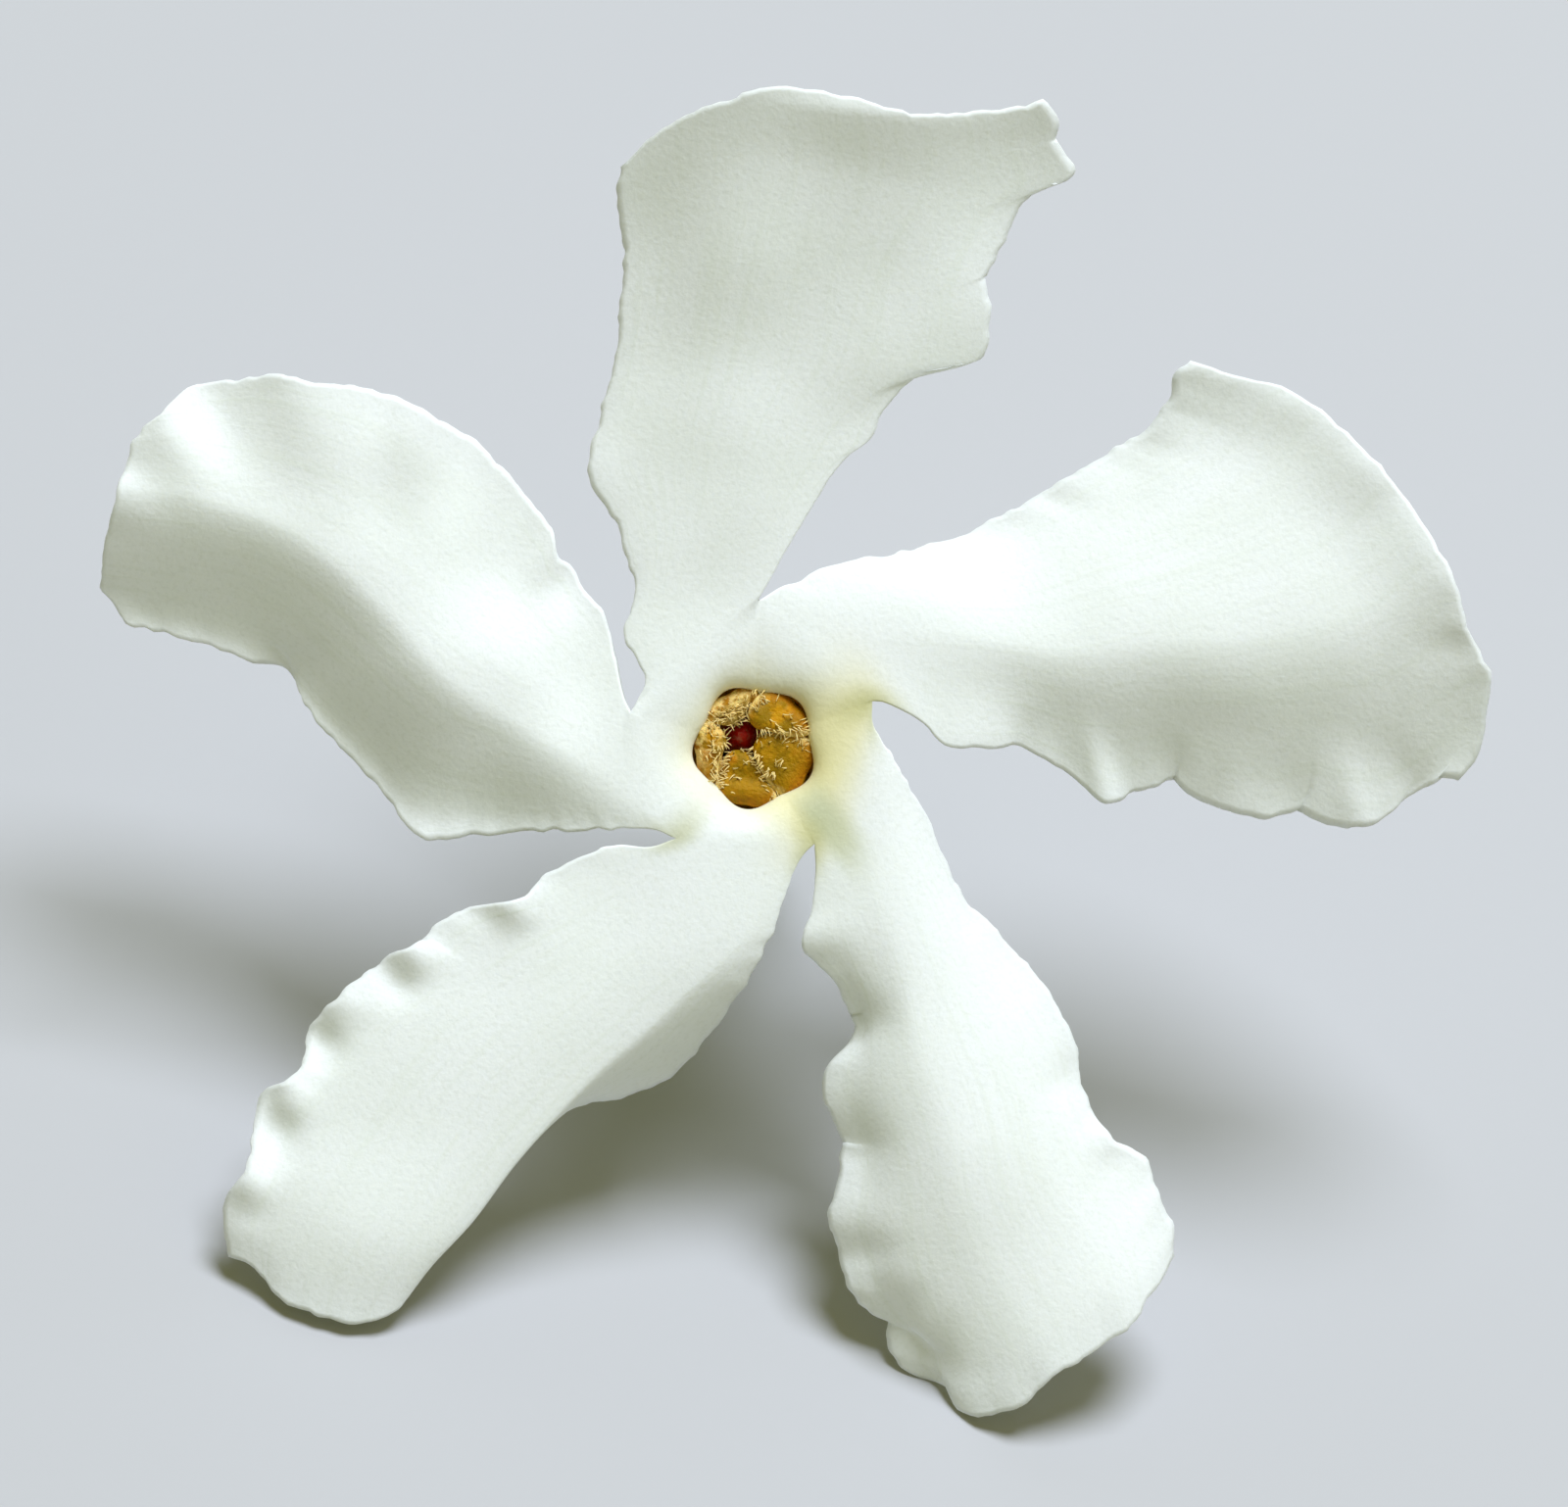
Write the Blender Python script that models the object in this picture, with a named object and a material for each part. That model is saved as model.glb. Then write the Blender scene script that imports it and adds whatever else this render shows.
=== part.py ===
"""A single star jasmine flower, picked with its stalk and lying on a surface.

Run with: blender --background --python part.py

Every piece is modelled in the flower's own frame, in millimetres: the tube's mouth is at the
origin, +Z points out of the flower's face along its axis, and +Y is the top of the flower as it
is seen face on. The flower is then leaned over until it rests on two lobes and the end of its
stalk, and the scene is in metres, +Z up.
"""
import math

import bmesh
import bpy
from mathutils import Matrix, Vector

MM = 0.001

# The corolla: a slender tube that opens into five twisted lobes. It is one fused piece.
WALL = 0.25  # thickness of the tube and the lobes
MOUTH_RADIUS = 1.12  # the hole that the anthers show in
TUBE_LENGTH = 7.0
TUBE_BASE_RADIUS = 0.74
TUBE_WAIST_RADIUS = 0.62
TUBE_SWELL_RADIUS = 1.27  # the tube is widest just under its mouth
LIMB_HEIGHT = 0.12  # the lobes spread this far in front of the mouth

# The other organs
CLEARANCE = 0.1  # between two neighbouring pieces
STIGMA_TOP = -0.95
OVARY_RADIUS = 0.38
RECEPTACLE_RADIUS = 1.32  # the sepals stand on its rim
RECEPTACLE_DEPTH = 0.6
STALK_RADIUS = 0.34
STALK_LENGTH = 5.2
STALK_BEND = 0.035  # sideways distance for each squared millimetre down the stalk

# Mesh density of the corolla
TUBE_ROWS = 8
COLLAR_ROWS = 3
LOBE_ROWS = 18
LOBE_COLUMNS = 10

# The clefts between neighbouring lobes, clockwise from the one left of the top lobe
CLEFTS = [(-2.24, 0.62), (0.05, 2.62), (2.12, 0.82), (1.08, -1.75), (-1.42, -1.65)]

# Each lobe is lofted over rails that run from the throat outwards: its counterclockwise edge, its
# clockwise edge, and between them any fold. A rail is (place across the lobe, points); its first
# point is the cleft. "tip" is the outer edge, from the first rail's end to the last one's. "lean"
# lifts the tip towards the front, and the drops set the two edges back.
LOBES = [
    {
        "rails": [
            (0.0, [(-2.4, 1.9), (-2.2, 3.0), (-2.7, 4.4), (-3.0, 5.2), (-2.65, 6.5), (-2.42, 8.0),
                   (-2.4, 9.3), (-2.48, 10.05)]),
            (1.0, [(0.5, 3.45), (1.5, 5.0), (2.3, 6.0), (3.2, 6.75), (4.15, 7.2), (4.2, 8.2),
                   (4.6, 9.3), (5.0, 9.9), (5.65, 10.15)]),
        ],
        "tip": [(-2.48, 10.05), (-2.0, 10.85), (-1.0, 11.4), (0.5, 11.75), (1.8, 11.6), (3.3, 11.35),
                (5.2, 11.55), (5.65, 10.15)],
        "lean": 1.7,
        "drops": (0.35, 0.8),
    },
    {
        "rails": [
            (0.0, [(1.0, 3.08), (2.1, 3.48), (3.6, 3.78), (5.0, 4.48), (6.6, 5.5), (7.5, 6.3)]),
            (1.0, [(3.0, 0.5), (3.8, -0.08), (5.2, -0.25), (6.3, -1.0), (7.6, -0.7), (9.0, -1.3),
                   (10.8, -1.45), (12.0, -0.8), (12.75, -0.67)]),
        ],
        "tip": [(7.5, 6.3), (7.9, 7.0), (9.4, 6.5), (11.2, 5.05), (12.4, 3.3), (13.1, 1.6),
                (13.1, 0.2), (12.75, -0.67)],
        "lean": 0.3,
        "drops": (1.0, 1.3),
    },
    {
        "rails": [
            (0.0, [(2.6, -0.45), (3.4, -1.95), (4.5, -3.5), (5.5, -4.7), (5.85, -6.0), (6.9, -7.3),
                   (7.5, -8.5), (7.62, -9.0)]),
            (1.0, [(1.05, -2.9), (1.2, -4.1), (1.7, -5.0), (1.3, -6.1), (1.55, -7.2), (1.35, -8.6),
                   (1.9, -10.0), (2.45, -11.1), (3.55, -11.85)]),
        ],
        "tip": [(7.62, -9.0), (7.0, -9.98), (6.1, -10.95), (5.2, -11.5), (4.2, -12.08), (3.55, -11.85)],
        "lean": -0.3,
        "drops": (1.1, 0.7),
    },
    {
        "rails": [
            (0.0, [(0.4, -3.0), (-0.4, -4.5), (-1.2, -5.6), (-2.1, -6.25), (-3.6, -6.67), (-4.8, -7.3),
                   (-6.0, -8.9), (-6.6, -10.28)]),
            (0.25, [(0.1, -3.4), (-1.6, -4.75), (-3.1, -6.2), (-4.0, -7.05), (-5.3, -8.7),
                    (-6.3, -9.95), (-6.6, -10.28)]),
            (1.0, [(-2.5, -1.8), (-3.5, -2.1), (-4.5, -2.75), (-6.0, -3.48), (-7.9, -4.85),
                   (-8.2, -5.8), (-9.0, -6.5), (-9.5, -8.0), (-9.45, -9.2)]),
        ],
        "tip": [(-6.6, -10.28), (-7.2, -10.42), (-8.2, -10.08), (-9.0, -9.45), (-9.45, -9.2)],
        "lean": -0.1,
        "drops": (0.5, 0.5),
        "fold": 1.0,
    },
    {
        "rails": [
            (0.0, [(-2.4, -1.44), (-4.2, -1.55), (-5.9, -1.68), (-6.6, -1.05), (-7.9, 0.4),
                   (-8.5, 1.4), (-10.0, 1.87), (-11.4, 2.2)]),
            (1.0, [(-2.5, 1.5), (-3.1, 2.95), (-3.6, 3.8), (-5.0, 5.45), (-6.8, 6.35), (-8.7, 6.65),
                   (-10.25, 6.48)]),
        ],
        "tip": [(-11.4, 2.2), (-11.83, 3.0), (-11.5, 4.55), (-11.0, 5.7), (-10.25, 6.48)],
        "lean": 0.4,
        "drops": (1.5, 1.1),
    },
]

# Stamens: bearing round the axis in degrees, how far from the axis the tip stops, and its height
STAMENS = [(45, 0.1, -0.2), (117, 0.42, -0.35), (189, 0.5, -0.3), (261, 0.16, -0.45), (333, 0.14, -0.3)]
SEPAL_BEARINGS = [126, 54, -18, -90, -162]
SEPAL_LENGTH = 2.5

# Base colour and roughness
FINISHES = {
    "petal": ((0.9, 0.92, 0.88), 0.55),
    "stamen": ((0.62, 0.4, 0.06), 0.6),
    "pistil": ((0.45, 0.06, 0.04), 0.5),
    "nectary": ((0.55, 0.6, 0.2), 0.35),
    "sepal": ((0.25, 0.38, 0.1), 0.55),
    "stalk": ((0.3, 0.4, 0.14), 0.55),
}


def clear_scene():
    for obj in list(bpy.data.objects):
        bpy.data.objects.remove(obj)


def material(name, colour, roughness):
    made = bpy.data.materials.new(name)
    made.use_nodes = True
    shader = made.node_tree.nodes["Principled BSDF"]
    shader.inputs["Base Color"].default_value = (*colour, 1.0)
    shader.inputs["Roughness"].default_value = roughness
    shader.inputs["Metallic"].default_value = 0.0
    return made


def add_object(name, bm, finish):
    """Makes a smooth-shaded object in metres out of a bmesh in millimetres, and frees the bmesh."""
    bmesh.ops.scale(bm, vec=(MM, MM, MM), verts=bm.verts)
    mesh = bpy.data.meshes.new(name)
    bm.to_mesh(mesh)
    bm.free()
    mesh.shade_smooth()
    mesh.materials.append(finish)
    obj = bpy.data.objects.new(name, mesh)
    bpy.context.scene.collection.objects.link(obj)
    return obj


def smoothstep(x):
    x = min(1.0, max(0.0, x))
    return x * x * (3 - 2 * x)


def catmull_rom(before, start, end, after, t):
    """A point of the smooth curve from start to end, which also looks at the point on each side."""
    return 0.5 * (
        2 * start
        + (end - before) * t
        + (2 * before - 5 * start + 4 * end - after) * t ** 2
        + (3 * start - before - 3 * end + after) * t ** 3
    )


def smooth_path(points, steps_per_span=12):
    """A function from 0..1 to the point that far along the smooth curve through points."""
    ends = [2 * points[0] - points[1], *points, 2 * points[-1] - points[-2]]
    line = [points[0]]
    for i in range(len(points) - 1):
        for step in range(1, steps_per_span + 1):
            line.append(catmull_rom(*ends[i:i + 4], step / steps_per_span))
    lengths = [0.0]
    for a, b in zip(line, line[1:]):
        lengths.append(lengths[-1] + (b - a).length)

    def at(share):
        target = share * lengths[-1]
        i = next((i for i, length in enumerate(lengths[1:]) if length >= target), len(line) - 2)
        return line[i].lerp(line[i + 1], (target - lengths[i]) / (lengths[i + 1] - lengths[i]))

    return at


def polar(point):
    return Vector(point).length, math.atan2(point[1], point[0])


def tube_profile():
    """The tube's inner surface, from its base to the collar, as a path of (radius, height)."""
    outline = [
        (TUBE_BASE_RADIUS, -TUBE_LENGTH),
        (TUBE_WAIST_RADIUS + 0.04, -0.84 * TUBE_LENGTH),
        (TUBE_WAIST_RADIUS, -0.7 * TUBE_LENGTH),
        (0.8 * TUBE_SWELL_RADIUS, -0.47 * TUBE_LENGTH),
        (TUBE_SWELL_RADIUS, -0.27 * TUBE_LENGTH),
        (MOUTH_RADIUS + 0.06, -0.13 * TUBE_LENGTH),
        (MOUTH_RADIUS, -0.06 * TUBE_LENGTH),
    ]
    return smooth_path([Vector(p) for p in outline])


def collar_point(profile_end, outer, share):
    """Between the tube's mouth and the lobes' roots the sheet rolls over, like a trumpet's bell."""
    turn = share * math.pi / 2
    radius = profile_end.x + (outer.x - profile_end.x) * (1 - math.cos(turn))
    height = profile_end.y + (outer.y - profile_end.y) * math.sin(turn)
    return radius, height


def lobe_shape(lobe, start_cleft, end_cleft):
    """Turns a lobe's points into paths: its rails, its outer edge, and its root between two clefts."""
    (start_radius, start_angle), (end_radius, end_angle) = polar(start_cleft), polar(end_cleft)
    if end_angle > start_angle:
        end_angle -= 2 * math.pi

    def root(across):
        angle = start_angle + (end_angle - start_angle) * across
        radius = start_radius + (end_radius - start_radius) * across
        return Vector((radius * math.cos(angle), radius * math.sin(angle)))

    rails = [(place, smooth_path([root(place), *map(Vector, points)])) for place, points in lobe["rails"]]
    return {"root": root, "rails": rails, "tip": smooth_path([Vector(p) for p in lobe["tip"]])}


def on_rails(rails, across, along):
    for (low, before), (high, after) in zip(rails, rails[1:]):
        if across <= high + 1e-9:
            return before(along).lerp(after(along), (across - low) / (high - low))


def lobe_point(lobe, shape, across, along):
    """A point of the lobe: across runs from its counterclockwise edge to its clockwise one."""
    flat = on_rails(shape["rails"], across, along)
    flat += (1 - along) * (shape["root"](across) - on_rails(shape["rails"], across, 0.0))
    flat += along * (shape["tip"](across) - on_rails(shape["rails"], across, 1.0))
    first_drop, last_drop = lobe["drops"]
    drop = first_drop * (1 - across) ** 2 + last_drop * across ** 2
    if "fold" in lobe:
        fold_place = shape["rails"][1][0]
        turned_under = smoothstep((along - 0.15) / 0.35) * (1 - smoothstep((along - 0.8) / 0.2))
        drop += lobe["fold"] * turned_under * (1 - smoothstep(across / fold_place))
    height = LIMB_HEIGHT + lobe["lean"] * along ** 2 - drop * smoothstep(along / 0.5)
    return Vector((flat.x, flat.y, height))


def add_gore(bm, lobe, start_cleft, end_cleft):
    """One lobe with the fifth of the collar and of the tube below it, as a bent sheet."""
    shape = lobe_shape(lobe, start_cleft, end_cleft)
    profile = tube_profile()
    rows = TUBE_ROWS + COLLAR_ROWS + LOBE_ROWS
    grid = bmesh.ops.create_grid(bm, x_segments=LOBE_COLUMNS, y_segments=rows, size=0.5)
    for vert in grid["verts"]:
        across, row = vert.co.x + 0.5, round((vert.co.y + 0.5) * rows)
        if row > TUBE_ROWS + COLLAR_ROWS:
            along = (row - TUBE_ROWS - COLLAR_ROWS) / LOBE_ROWS
            vert.co = lobe_point(lobe, shape, across, along)
            continue
        root = shape["root"](across)
        radius, height = profile(min(1.0, row / TUBE_ROWS))
        if row > TUBE_ROWS:
            outer = Vector((root.length, LIMB_HEIGHT))
            radius, height = collar_point(Vector((radius, height)), outer, (row - TUBE_ROWS) / COLLAR_ROWS)
        vert.co = (*(root.normalized() * radius), height)


def make_corolla(finish):
    bm = bmesh.new()
    for i, lobe in enumerate(LOBES):
        add_gore(bm, lobe, CLEFTS[i], CLEFTS[(i + 1) % len(CLEFTS)])
    bmesh.ops.remove_doubles(bm, verts=bm.verts, dist=0.001)
    corolla = add_object("corolla", bm, finish)
    shell = corolla.modifiers.new("Wall", "SOLIDIFY")
    shell.thickness = WALL * MM
    shell.offset = -1
    return corolla


def add_swept(bm, stations, segments):
    """A closed solid through stations, each (centre, side, front, half_width, half_depth)."""
    ring = bmesh.ops.create_circle(bm, cap_ends=True, radius=1, segments=segments)["verts"]
    cap = ring[0].link_faces[0]
    for i, (centre, side, front, half_width, half_depth) in enumerate(stations):
        if i:
            cap = bmesh.ops.extrude_discrete_faces(bm, faces=[cap])["faces"][0]
        for corner, vert in enumerate(cap.verts):
            angle = 2 * math.pi * corner / segments
            vert.co = centre + side * (half_width * math.cos(angle)) + front * (half_depth * math.sin(angle))
    bmesh.ops.holes_fill(bm, edges=bm.edges, sides=segments)
    bmesh.ops.recalc_face_normals(bm, faces=bm.faces)


def turned(name, outline, finish, segments=16):
    """A solid turned round the flower's axis, from (radius, height) points."""
    bm = bmesh.new()
    side, front = Vector((1, 0, 0)), Vector((0, 1, 0))
    stations = [(Vector((0, 0, height)), side, front, radius, radius) for radius, height in outline]
    add_swept(bm, stations, segments)
    return add_object(name, bm, finish)


def make_stamen(number, bearing, tip_radius, tip_height, finish):
    """A short filament on the tube's wall and an arrowhead anther that leans in over the stigma."""
    angle = math.radians(bearing)
    outward = Vector((math.cos(angle), math.sin(angle), 0))
    side = Vector((0, 0, 1)).cross(outward)
    # (distance from the axis, height, half width, half thickness) from the filament to the tip
    outline = [
        (1.0, -2.3, 0.12, 0.08),
        (1.0, -1.95, 0.14, 0.1),
        (0.93, -1.55, 0.32, 0.13),
        (0.86, -1.1, 0.44, 0.15),
        (0.76, -0.7, 0.42, 0.14),
        (0.35 + 0.6 * tip_radius, tip_height - 0.12, 0.14 + 0.25 * tip_radius, 0.1),
        (tip_radius, tip_height, 0.03, 0.03),
    ]
    stations = []
    for i, (radius, height, half_width, half_depth) in enumerate(outline):
        after, before = outline[min(i + 1, len(outline) - 1)], outline[max(i - 1, 0)]
        growth = outward * (after[0] - before[0]) + Vector((0, 0, after[1] - before[1]))
        front = growth.normalized().cross(side)
        stations.append((outward * radius + Vector((0, 0, height)), side, front, half_width, half_depth))
    bm = bmesh.new()
    add_swept(bm, stations, segments=10)
    return add_object(f"stamen_{number}", bm, finish)


def make_pistil(finish):
    """Ovary, thread-like style and the conical stigma head, grown as one."""
    floor = -TUBE_LENGTH + CLEARANCE / 2
    outline = [
        (0.26, floor),
        (OVARY_RADIUS, floor + 0.35),
        (OVARY_RADIUS, floor + 0.75),
        (0.26, floor + 1.2),
        (0.13, floor + 1.6),
        (0.11, -2.9),
        (0.13, -2.2),
        (0.3, -2.0),
        (0.33, -1.7),
        (0.22, -1.3),
        (0.06, STIGMA_TOP),
    ]
    return turned("pistil", outline, finish)


def make_nectary(finish):
    """The low, five-lobed ring round the ovary's foot."""
    inner, outer, height = OVARY_RADIUS + CLEARANCE, TUBE_BASE_RADIUS - 0.1, 0.55
    floor = -TUBE_LENGTH + CLEARANCE / 2
    bm = bmesh.new()
    corners = [(inner, floor), (outer, floor), (outer - 0.03, floor + height), (inner + 0.03, floor + height)]
    verts = [bm.verts.new((radius, 0, z)) for radius, z in corners]
    edges = [bm.edges.new((verts[i - 1], verts[i])) for i in range(len(verts))]
    bmesh.ops.spin(
        bm, geom=[*verts, *edges], cent=(0, 0, 0), axis=(0, 0, 1),
        angle=2 * math.pi, steps=30, use_merge=True, use_duplicate=False,
    )
    for vert in bm.verts:
        if vert.co.z > floor + 0.5 * height:
            vert.co.z += 0.12 * math.cos(5 * math.atan2(vert.co.y, vert.co.x))
    bmesh.ops.recalc_face_normals(bm, faces=bm.faces)
    return add_object("nectary_ring", bm, finish)


def make_sepal(number, bearing, finish):
    """A narrow green sepal that hugs the tube's foot and turns out at its point."""
    angle = math.radians(bearing)
    outward = Vector((math.cos(angle), math.sin(angle), 0))
    side = Vector((0, 0, 1)).cross(outward)
    foot = -TUBE_LENGTH + 0.1
    tube_outside = TUBE_BASE_RADIUS + WALL
    # (share of the length, distance from the tube, half width, half thickness)
    outline = [
        (0.0, 0.28, 0.34, 0.12),
        (0.25, 0.24, 0.46, 0.13),
        (0.55, 0.27, 0.4, 0.11),
        (0.8, 0.5, 0.24, 0.08),
        (1.0, 0.95, 0.05, 0.04),
    ]
    stations = []
    for share, away, half_width, half_depth in outline:
        centre = outward * (tube_outside + away) + Vector((0, 0, foot + SEPAL_LENGTH * share))
        stations.append((centre, side, outward, half_width, half_depth))
    bm = bmesh.new()
    add_swept(bm, stations, segments=10)
    return add_object(f"sepal_{number}", bm, finish)


def make_stalk(finish):
    """The pedicel, bent a little, with the receptacle that carries the flower as its swollen top."""
    top = -TUBE_LENGTH - CLEARANCE
    outline = [
        (RECEPTACLE_RADIUS, 0.0),
        (0.98 * RECEPTACLE_RADIUS, 0.18),
        (0.57 * RECEPTACLE_RADIUS, RECEPTACLE_DEPTH),
        (STALK_RADIUS + 0.12, 0.95),
        (STALK_RADIUS, 1.6),
        (STALK_RADIUS - 0.03, 2.8),
        (STALK_RADIUS, 4.0),
        (STALK_RADIUS + 0.06, STALK_LENGTH),
    ]
    stations = []
    for radius, depth in outline:
        below_cup = max(0.0, depth - RECEPTACLE_DEPTH)
        lean = math.atan(2 * STALK_BEND * below_cup)
        centre = Vector((0, STALK_BEND * below_cup ** 2, top - depth))
        front = Vector((0, math.cos(lean), math.sin(lean)))
        stations.append((centre, Vector((1, 0, 0)), front, radius, radius))
    bm = bmesh.new()
    add_swept(bm, stations, segments=16)
    return add_object("stalk", bm, finish)


def make_flower():
    finish = {name: material(name, *look) for name, look in FINISHES.items()}
    pieces = [
        make_corolla(finish["petal"]),
        make_pistil(finish["pistil"]),
        make_nectary(finish["nectary"]),
        make_stalk(finish["stalk"]),
    ]
    for number, stamen in enumerate(STAMENS, start=1):
        pieces.append(make_stamen(number, *stamen, finish["stamen"]))
    for number, bearing in enumerate(SEPAL_BEARINGS, start=1):
        pieces.append(make_sepal(number, bearing, finish["sepal"]))
    return pieces


def world_points(pieces):
    bpy.context.view_layer.update()
    graph = bpy.context.evaluated_depsgraph_get()
    points = []
    for piece in pieces:
        evaluated = piece.evaluated_get(graph)
        points += [evaluated.matrix_world @ vert.co for vert in evaluated.data.vertices]
    return points


def resting_side(points):
    """The way out of the flower that faces the floor: the widest flat of its convex hull below and behind."""
    bm = bmesh.new()
    for point in points:
        bm.verts.new(point)
    bmesh.ops.convex_hull(bm, input=bm.verts)
    bm.normal_update()
    below = Vector((0, -1, -1)).normalized()
    under = [face for face in bm.faces if face.normal.dot(below) > math.cos(math.radians(30))]
    down = max(under, key=lambda face: face.calc_area()).normal.copy()
    bm.free()
    return down


def lay_down(pieces):
    """Leans the flower on its two lowest lobes and its stalk, faces it to -Y, and centres its foot."""
    holder = bpy.data.objects.new("lying_flower", None)
    bpy.context.scene.collection.objects.link(holder)
    for piece in pieces:
        piece.parent = holder
    lean = resting_side(world_points(pieces)).rotation_difference(Vector((0, 0, -1)))
    face = lean @ Vector((0, 0, 1))
    heading = Matrix.Rotation(-math.pi / 2 - math.atan2(face.y, face.x), 4, "Z")
    turn = heading @ lean.to_matrix().to_4x4()
    holder.matrix_world = turn
    points = world_points(pieces)
    low, high = ([pick(point[axis] for point in points) for axis in range(3)] for pick in (min, max))
    foot = Vector(((low[0] + high[0]) / 2, (low[1] + high[1]) / 2, low[2]))
    holder.matrix_world = Matrix.Translation(-foot) @ turn


clear_scene()
lay_down(make_flower())
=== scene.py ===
import bisect
import functools
import math
import random

import bmesh
import bpy
from mathutils import Matrix, Vector, noise


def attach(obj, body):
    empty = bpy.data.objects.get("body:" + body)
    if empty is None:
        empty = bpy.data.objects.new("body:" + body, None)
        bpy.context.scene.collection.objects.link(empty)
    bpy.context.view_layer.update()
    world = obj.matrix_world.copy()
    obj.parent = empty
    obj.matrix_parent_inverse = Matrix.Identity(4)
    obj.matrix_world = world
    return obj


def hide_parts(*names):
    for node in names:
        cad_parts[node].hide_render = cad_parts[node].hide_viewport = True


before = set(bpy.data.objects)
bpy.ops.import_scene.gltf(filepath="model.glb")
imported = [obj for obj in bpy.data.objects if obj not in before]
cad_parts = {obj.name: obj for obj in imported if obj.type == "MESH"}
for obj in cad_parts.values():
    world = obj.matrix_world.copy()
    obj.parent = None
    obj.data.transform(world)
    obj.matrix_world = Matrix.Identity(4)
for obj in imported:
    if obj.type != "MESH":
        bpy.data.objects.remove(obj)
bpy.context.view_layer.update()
mm = 0.001


def smoothStep(x):
    x = min(1.0, max(0.0, x))
    return x * x * (3 - 2 * x)


def smoothPath(points, stepsPerSpan=24):
    # gives a function from 0..1 to the point that far along a curve through the points,
    # and a point given twice is a corner
    points = [Vector(p) for p in points]
    ends = [2 * points[0] - points[1], *points, 2 * points[-1] - points[-2]]
    line = [points[0]]
    for before, start, end, after in zip(ends, ends[1:], ends[2:], ends[3:]):
        for step in range(1, stepsPerSpan + 1):
            t = step / stepsPerSpan
            line.append(0.5 * (
                2 * start
                + (end - before) * t
                + (2 * before - 5 * start + 4 * end - after) * t ** 2
                + (3 * start - before - 3 * end + after) * t ** 3
            ))
    reach = [0.0]
    for a, b in zip(line, line[1:]):
        reach.append(reach[-1] + (b - a).length)

    @functools.cache
    def at(share):
        target = share * reach[-1]
        i = min(max(bisect.bisect_left(reach, target) - 1, 0), len(line) - 2)
        return line[i].lerp(line[i + 1], (target - reach[i]) / max(reach[i + 1] - reach[i], 1e-9))

    return at


def softened(path, window=0.14):
    # the same path without its small turns: each point becomes a mean of those around it
    @functools.cache
    def at(share):
        spread = min(window, share, 1 - share) / 8
        total = Vector((0, 0))
        for step in range(-7, 8):
            total += (8 - abs(step)) * path(share + spread * step)
        return total / 64

    return at


def pointsOf(nodeName):
    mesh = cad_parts[nodeName].data
    return [Vector(p) for p in {tuple(round(c, 7) for c in v.co) for v in mesh.vertices}]


def middle(points):
    return sum(points, Vector((0, 0, 0))) / len(points)


# the flower's own frame: the mouth is its origin, Z is out of its face, Y is its top
stigmaDepth = 0.95  # below the mouth, in mm


def flowerFrame():
    sepals = [middle(pointsOf(f"sepal_{i}")) for i in range(1, 6)]
    foot = middle(sepals)
    out = (sepals[1] - sepals[0]).cross(sepals[2] - sepals[0]).normalized()
    pistil = pointsOf("pistil")
    if (middle(pistil) - foot).dot(out) < 0:
        out = -out
    top = (foot - sepals[3]).normalized()  # the fourth sepal hangs straight down
    mouth = foot + out * (max((p - foot).dot(out) for p in pistil) + stigmaDepth * mm)
    axes = Matrix((top.cross(out), top, out)).transposed().to_4x4()
    return Matrix.Translation(mouth) @ axes


toRow = flowerFrame() @ Matrix.Scale(mm, 4)


def addPiece(name, bm, materials, nodes=()):
    # turns a bmesh in the flower's frame and in mm into a piece in the row's frame
    bmesh.ops.transform(bm, matrix=toRow, verts=bm.verts)
    mesh = bpy.data.meshes.new(name)
    bm.to_mesh(mesh)
    bm.free()
    mesh.shade_smooth()
    for material in materials:
        mesh.materials.append(material)
    piece = bpy.data.objects.new(name, mesh)
    bpy.context.scene.collection.objects.link(piece)
    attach(piece, "root")
    if nodes:
        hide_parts(*nodes)
    return piece


def plug(tree, socket, value):
    if isinstance(value, Signal):
        tree.links.new(value.socket, socket)
    elif isinstance(value, tuple) and socket.type == "RGBA":
        socket.default_value = (*value, 1.0)
    else:
        socket.default_value = value


def addNode(tree, kind, settings, inputs, output=0):
    # settings are the node's own, such as its operation, and inputs the values or links of its sockets
    node = tree.nodes.new(kind)
    for key, value in settings.items():
        setattr(node, key, value)
    for key, value in inputs.items():
        plug(tree, node.inputs[key], value)
    return Signal(tree, node.outputs[output])


class Signal:
    # a socket's value in Python expressions: each operator adds a Math node
    def __init__(self, tree, socket):
        self.tree = tree
        self.socket = socket

    def maths(self, operation, *values):
        inputs = dict(enumerate(values))
        return addNode(self.tree, "ShaderNodeMath", {"operation": operation}, inputs)

    def __add__(self, other):
        return self.maths("ADD", self, other)

    def __radd__(self, other):
        return self.maths("ADD", other, self)

    def __sub__(self, other):
        return self.maths("SUBTRACT", self, other)

    def __rsub__(self, other):
        return self.maths("SUBTRACT", other, self)

    def __mul__(self, other):
        return self.maths("MULTIPLY", self, other)

    def __rmul__(self, other):
        return self.maths("MULTIPLY", other, self)

    def __truediv__(self, other):
        return self.maths("DIVIDE", self, other)

    def __rtruediv__(self, other):
        return self.maths("DIVIDE", other, self)

    def sine(self):
        return self.maths("SINE", self)

    def size(self):
        return self.maths("ABSOLUTE", self)

    def ramp(self, low, high):
        # 0 below low, 1 above high, smooth between
        settings = {"interpolation_type": "SMOOTHSTEP"}
        inputs = {"Value": self, "From Min": low, "From Max": high}
        return addNode(self.tree, "ShaderNodeMapRange", settings, inputs, "Result")


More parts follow.
